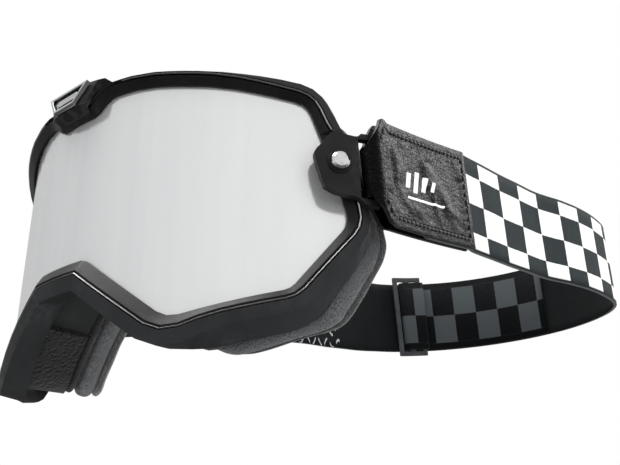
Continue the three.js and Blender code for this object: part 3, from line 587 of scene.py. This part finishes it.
def seam_corners(inset, ply):
    """Corners of the stitch line on the flat of the leather, as (distance behind the bar, height)."""
    start = FOLD_FRONT if ply > 0 else FOLD_AHEAD
    run = (LEATHER_FRONT - FOLD_HALF) / FLARE - start + inset * (math.hypot(1, FLARE) - 1) / FLARE
    near, far = full_half(run) - inset, full_half(LEATHER_LEN) - inset
    front = min(run - 0.5 * MM, 1.8 * MM) if ply < 0 else -FOLD_AHEAD
    low = FOLD_HALF + (front + start) * FLARE - inset * math.hypot(1, FLARE)
    return [(front, low), (run, near), (LEATHER_LEN - inset, far), (LEATHER_LEN - inset, -far),
            (run, -near), (front, -low)]


def stitches(side, leather, mat, ply):
    bvh = BVHTree.FromObject(leather, bpy.context.evaluated_depsgraph_get())
    corners = seam_corners(SEAM_IN, ply)
    pitch, size = 3.1 * MM, 2.3 * MM
    verts, faces = [], []
    for (d0, z0), (d1, z1) in zip(corners, corners[1:]):
        run = math.hypot(d1 - d0, z1 - z0)
        count = max(1, round(run / pitch))
        for i in range(count):
            mid = (i + 0.5) / count
            ends = []
            for k in range(5):
                t = mid + (k / 4 - 0.5) * size / run
                d, z = d0 + (d1 - d0) * t, z0 + (z1 - z0) * t
                p, n = side_at(BAR.y + d)
                n = n * ply
                start = Vector((side * (p.x + n.x * 9 * MM), p.y + n.y * 9 * MM, leather_mid(d) + z))
                ray = Vector((-side * n.x, -n.y, 0))
                hit, normal, _, _ = bvh.ray_cast(start, ray)
                if hit is None:
                    break
                lift = (0.30 - 0.42 * abs(k / 2 - 1) ** 2) * MM
                ends.append((hit - ray * lift, ray))
            if len(ends) < 5:
                continue
            base = len(verts)
            for k, (p, ray) in enumerate(ends):
                tangent = (ends[min(k + 1, 4)][0] - ends[max(k - 1, 0)][0]).normalized()
                sideways = tangent.cross(ray).normalized()
                r = (0.34, 0.42, 0.44, 0.42, 0.34)[k] * MM
                for m in range(6):
                    a = 2 * math.pi * m / 6
                    verts.append(p + sideways * math.cos(a) * r - ray * math.sin(a) * r * 0.8)
            for k in range(4):
                for m in range(6):
                    a, b = base + k * 6 + m, base + k * 6 + (m + 1) % 6
                    faces.append([a, b, b + 6, a + 6])
            faces.append([base + m for m in reversed(range(6))])
            faces.append([base + 24 + m for m in range(6)])
    name = "stitch_%s_%s" % ("outer" if ply > 0 else "inner", "left" if side > 0 else "right")
    o = add_object(name, verts, faces, [mat])
    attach(o, "strap_ends")
    return o


def printed_mark(side, leather, mat):
    """A plain mark of slanted bars and a ground line, printed on the leather."""
    bvh = BVHTree.FromObject(leather, bpy.context.evaluated_depsgraph_get())
    bars = [(20, 5.6, 3.2), (26, 8.0, 3.2), (32, 5.6, 3.2), (38, 3.6, 2.6)]
    patches = [[(c - w / 2 - h * 0.2, -h / 2), (c + w / 2 - h * 0.2, -h / 2), (c + w / 2 + h * 0.2, h / 2), (c - w / 2 + h * 0.2, h / 2)]
               for c, h, w in bars]
    patches.append([(18, -6.6), (46, -6.6), (46.6, -5.7), (18.6, -5.7)])
    verts, faces = [], []
    for quad in patches:
        nu, nv = (56, 3) if quad[1][0] - quad[0][0] > 10 else (8, 16)
        base = len(verts)
        for i in range(nu + 1):
            for j in range(nv + 1):
                u, v = i / nu, j / nv
                a = Vector(quad[0]).lerp(Vector(quad[1]), u)
                b = Vector(quad[3]).lerp(Vector(quad[2]), u)
                d, z = a.lerp(b, v)
                p, n = side_at(BAR.y + d * MM)
                start = Vector((side * (p.x + n.x * 9 * MM), p.y + n.y * 9 * MM, leather_mid(d * MM) + z * MM))
                ray = Vector((-side * n.x, -n.y, 0))
                hit = bvh.ray_cast(start, ray)[0]
                verts.append(hit - ray * 0.09 * MM)
        for i in range(nu):
            for j in range(nv):
                q = base + i * (nv + 1) + j
                faces.append([q, q + nv + 1, q + nv + 2, q + 1])
    o = add_object("print_" + ("left" if side > 0 else "right"), verts, faces, [mat])
    s = o.modifiers.new("ink", "SOLIDIFY")
    s.thickness = 0.1 * MM
    apply_modifiers(o)
    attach(o, "strap_ends")
    return o


# ------------------------------------------------------------------ strap band and tail
FIRST_SQUARE = 12 * MM           # how much of the first column shows behind the leather
ROW_SHIFT = 1.3 * MM             # the middle row line stands this far above the middle
START = 40 * BAND_SQUARE[0]      # sheet coordinates of the first column line and of the middle
SHEET_MID = 40 * BAND_SQUARE[1] - ROW_SHIFT
TAIL_START = 41.4 * TAIL_SQUARE[0]
TAIL_MID = 40 * TAIL_SQUARE[1]
SHEET_MID = 0.0


def strap_band(mats):
    points, normals, lengths = band_path(3.0 * MM)
    across = 10
    leather_edge = next(s for p, s in zip(points, lengths) if p.y >= LEATHER_END)
    verts, uvs, faces, pin, outward = [], [], [], [], []
    for p, n, s in zip(points, normals, lengths):
        angle = math.atan2(p.y - BACK.y, p.x)
        d = p.y - BAR.y
        hidden = d < LEATHER_LEN
        half = full_half(d) - 0.4 * MM if hidden else BAND_HALF
        for j in range(across + 1):
            z = (j / across * 2 - 1) * half
            verts.append(Vector((p.x, p.y, (leather_mid(d) if hidden else MID_Z) + z)))
            uvs.append((s - leather_edge - FIRST_SQUARE + START, z + SHEET_MID))
            inside = p.y < LEATHER_END + 1 * MM
            held = inside or (math.radians(80) < angle < math.radians(165))
            near = smooth((p.y - LEATHER_END) / (12 * MM))
            pin.append(1.0 if held else 1.0 - near)
            outward.append(n)
    w = across + 1
    for i in range(len(points) - 1):
        for j in range(across):
            faces.append([i * w + j, (i + 1) * w + j, (i + 1) * w + j + 1, i * w + j + 1])
    o = add_object("strap_webbing", verts, faces, mats, uvs=uvs)
    simulate(o, 18, 1.2 * MM, pin=pin, grow=0.003, bend=5.0, stretch=30)
    s = o.modifiers.new("thick", "SOLIDIFY")
    s.thickness = BAND_T
    s.offset = 0
    s.material_offset = 1
    s.material_offset_rim = 2
    apply_modifiers(o)
    return o


def strap_tail(mats):
    """The folded-back end: the CAD sheet cut finer, with sheet coordinates carried round the back."""
    o = copy_of_node("strap_tail", "tail_webbing", mats[0], 1, simple=True)
    me = o.data
    layer = me.uv_layers.new(name="sheet")
    for loop in me.loops:
        co = me.vertices[loop.vertex_index].co
        a = math.atan2(co.y - BACK.y, co.x)
        layer.data[loop.index].uv = (a * BACK_R + TAIL_START, co.z - MID_Z + TAIL_MID)
    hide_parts("strap_tail")
    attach(o, "adjuster")
    return o


def copy_of_node(node, name, mat, levels, simple=False):
    """A quad copy of a CAD node, subdivided, ready to be softened."""
    bm = bmesh.new()
    bm.from_mesh(NODES[node].data)
    bmesh.ops.remove_doubles(bm, verts=bm.verts, dist=0.01 * MM)
    bmesh.ops.join_triangles(bm, faces=bm.faces, angle_face_threshold=math.radians(40), angle_shape_threshold=math.radians(60))
    bmesh.ops.recalc_face_normals(bm, faces=bm.faces)
    me = bpy.data.meshes.new(name)
    bm.to_mesh(me)
    bm.free()
    me.materials.clear()
    me.materials.append(mat)
    o = bpy.data.objects.new(name, me)
    SCENE.collection.objects.link(o)
    s = o.modifiers.new("finer", "SUBSURF")
    s.levels = s.render_levels = levels
    if simple:
        s.subdivision_type = "SIMPLE"
    apply_modifiers(o)
    for layer in list(o.data.uv_layers):
        o.data.uv_layers.remove(layer)
    return o


def soft_ring(node, name, mat, pressure, cap, lumps):
    """A foam or fleece ring: the CAD ring made fine, swelled by cloth pressure and slightly uneven."""
    o = copy_of_node(node, name, mat, 1)
    simulate(o, 14, cap, pressure=pressure, bend=0.3, stretch=8)
    for v in o.data.vertices:
        v.co += v.normal * lumps * noise.noise(v.co * (1 / (5 * MM)))
    s = o.modifiers.new("smooth", "SUBSURF")
    s.levels = s.render_levels = 1
    apply_modifiers(o)
    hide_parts(node)
    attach(o, "frame")
    return o


# ------------------------------------------------------------------ build
shell = shell_look()
bezel = satin_look("bezel_black", (0.006, 0.006, 0.0065), (0.010, 0.010, 0.011), 0.33)
plate = satin_look("outrigger_black", (0.008, 0.008, 0.0085), (0.013, 0.013, 0.014), 0.40)
pod = satin_look("pod_black", (0.009, 0.009, 0.0095), (0.015, 0.015, 0.016), 0.42)
gloss = satin_look("inlay_black", (0.003, 0.003, 0.003), (0.006, 0.006, 0.006), 0.15)
slider = satin_look("slider_grey", (0.035, 0.037, 0.040), (0.055, 0.058, 0.062), 0.42)
chrome = chrome_look("bright_chrome", (0.80, 0.805, 0.81), 0.07)
silver = chrome_look("stripe_silver", (0.72, 0.72, 0.72), 0.34)
leather = leather_look()
edge = cut_edge_look()
thread = thread_look()
ink = print_look()

# grip dashes sit between the far leather end and the adjuster, on the inside
_, _, LENGTHS = band_path(3.0 * MM)
TOTAL = LENGTHS[-1]
GRIP_FROM = START + TOTAL - 175 * MM - FIRST_SQUARE
GRIP_TO = START + TOTAL - 125 * MM - FIRST_SQUARE

weave = weave_look("strap_weave", (0.84, 0.84, 0.83), (0.014, 0.019, 0.021), (0.012, 0.016, 0.018), BAND_SQUARE, SHEET_MID, 0.9 * MM)
# the tail carries the band's real chequer print with both colours painted far darker: painted shade for the shadow it
# sits in behind the adjuster
weave_in_painted_shade = weave_look("tail_weave", (0.060, 0.068, 0.073), (0.0025, 0.003, 0.0035), (0.0025, 0.003, 0.0035), TAIL_SQUARE, TAIL_MID, 3.4 * MM)
reverse = lining_look()
strap_edge = foam_look("strap_edge", (0.02, 0.025, 0.026), (0.05, 0.058, 0.06), 0.7 * MM, 0.1 * MM)

dress("frame_shell", shell, 0.45 * MM)
dress("lens_bezel", bezel, 0.25 * MM)
dress("lens", lens_look())
for n in ("trim_upper_left", "trim_upper_right", "trim_lower"):
    dress(n, silver)
dress("badge_pod", pod, 0.35 * MM)
dress("badge_rim", chrome, 0.18 * MM)
dress("badge_inlay", gloss, 0.1 * MM)
dress("badge_mark", chrome, 0.1 * MM)
for s in ("left", "right"):
    dress("outrigger_" + s, plate, 0.4 * MM)
    dress("rivet_washer_" + s, plate, 0.1 * MM)
    dress("rivet_" + s, chrome)
dress("strap_slider", slider, 0.3 * MM)
vent = foam_look("vent_foam", (0.002, 0.002, 0.002), (0.012, 0.012, 0.013), 1.6 * MM, 0.5 * MM)
for n in ("vent_foam_top", "vent_foam_left", "vent_foam_right"):
    dress(n, vent, 0.3 * MM)

soft_ring("foam_base", "foam_base_ring",
          foam_look("base_foam", (0.003, 0.003, 0.004), (0.020, 0.020, 0.022), 0.9 * MM, 0.3 * MM), 0.4, 0.5 * MM, 0.1 * MM)
soft_ring("foam_core", "foam_core_ring",
          foam_look("core_foam", (0.030, 0.031, 0.033), (0.105, 0.108, 0.112), 0.8 * MM, 0.3 * MM), 0.6, 0.9 * MM, 0.25 * MM)
soft_ring("foam_fleece", "fleece_ring", fleece_look(), 1.2, 1.4 * MM, 0.45 * MM)

for side in (1, -1):
    wrap = leather_end(side, [leather, edge])
    stitches(side, wrap, thread, 1)
    stitches(side, wrap, thread, -1)
    printed_mark(side, wrap, ink)

band = strap_band([weave, reverse, strap_edge])
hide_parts("strap_band")
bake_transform(band)
strap_tail([weave_in_painted_shade])

# ------------------------------------------------------------------ stage, light, camera
FLOOR_Z = -0.32
floor = add_object("floor", [(-4, -4, FLOOR_Z), (4, -4, FLOOR_Z), (4, 4, FLOOR_Z), (-4, 4, FLOOR_Z)], [(0, 1, 2, 3)], [floor_look()])
floor.visible_glossy = False

world = bpy.data.worlds.new("studio")
SCENE.world = world
world.use_nodes = True
wt = world.node_tree
background = wt.nodes["Background"]
seen = wt.nodes.new("ShaderNodeBackground")
seen.inputs["Color"].default_value = (1, 1, 1, 1)
path = wt.nodes.new("ShaderNodeLightPath")
pick = wt.nodes.new("ShaderNodeMixShader")
ramp = wt.nodes.new("ShaderNodeValToRGB")
coord = wt.nodes.new("ShaderNodeTexCoord")
split = wt.nodes.new("ShaderNodeSeparateXYZ")
lean = wt.nodes.new("ShaderNodeMapRange")
lean.inputs["From Min"].default_value = -0.9
lean.inputs["From Max"].default_value = 0.9
ramp.color_ramp.elements[0].color = (0.62, 0.625, 0.63, 1)
ramp.color_ramp.elements[1].color = (1.0, 1.0, 1.0, 1)
wt.links.new(coord.outputs["Generated"], split.inputs[0])
wt.links.new(split.outputs["X"], lean.inputs["Value"])
wt.links.new(lean.outputs["Result"], ramp.inputs["Fac"])
below = wt.nodes.new("ShaderNodeMapRange")
below.inputs["From Min"].default_value = -0.35
below.inputs["From Max"].default_value = 0.02
below.inputs["To Min"].default_value = 0.16
wt.links.new(split.outputs["Z"], below.inputs["Value"])
shade = wt.nodes.new("ShaderNodeVectorMath")
shade.operation = "SCALE"
wt.links.new(ramp.outputs["Color"], shade.inputs[0])
wt.links.new(below.outputs["Result"], shade.inputs["Scale"])
wt.links.new(shade.outputs["Vector"], background.inputs["Color"])
wt.links.new(path.outputs["Is Camera Ray"], pick.inputs["Fac"])
wt.links.new(background.outputs[0], pick.inputs[1])
wt.links.new(seen.outputs[0], pick.inputs[2])
wt.links.new(pick.outputs[0], wt.nodes["World Output"].inputs["Surface"])
background.inputs["Strength"].default_value = 0.85
SCENE.view_settings.view_transform = "Standard"

TARGET = Vector((0.0, -0.06, 0.06))


def softbox(name, where, size, power, mirrored=True):
    data = bpy.data.lights.new(name, "AREA")
    data.shape = "RECTANGLE"
    data.size, data.size_y = size
    data.energy = power
    o = bpy.data.objects.new(name, data)
    o.location = where
    o.rotation_euler = (TARGET - Vector(where)).to_track_quat("-Z", "Y").to_euler()
    o.visible_glossy = mirrored
    SCENE.collection.objects.link(o)


softbox("key_above", (-0.25, -0.35, 0.95), (0.9, 0.6), 9)
softbox("fill_right", (0.95, -0.25, 0.35), (0.5, 0.8), 5, mirrored=False)
softbox("rim_back", (0.35, 0.85, 0.6), (0.8, 0.5), 6)

# the camera stands low at the wearer's left front and looks up at the lens
AZIMUTH, ELEVATION, ROLL = math.radians(41.75), math.radians(-17.17), math.radians(-4.96)
SENSOR, FOCAL = 36.0, 58.06
CAMERA_AT = BAR + Vector((0.27417, -0.23658, -0.11006))
look = Vector((-math.sin(AZIMUTH) * math.cos(ELEVATION), math.cos(AZIMUTH) * math.cos(ELEVATION), -math.sin(ELEVATION)))
right = look.cross(Vector((0, 0, 1))).normalized()
up = right.cross(look)
right_r = right * math.cos(ROLL) + up * math.sin(ROLL)
up_r = up * math.cos(ROLL) - right * math.sin(ROLL)
cam_data = bpy.data.cameras.new("camera")
cam_data.sensor_width = SENSOR
cam_data.lens = FOCAL
cam_data.clip_start = 0.01
cam = bpy.data.objects.new("camera", cam_data)
cam.matrix_world = Matrix.Translation(CAMERA_AT) @ Matrix((right_r, up_r, -look)).transposed().to_4x4()
SCENE.collection.objects.link(cam)
SCENE.camera = cam
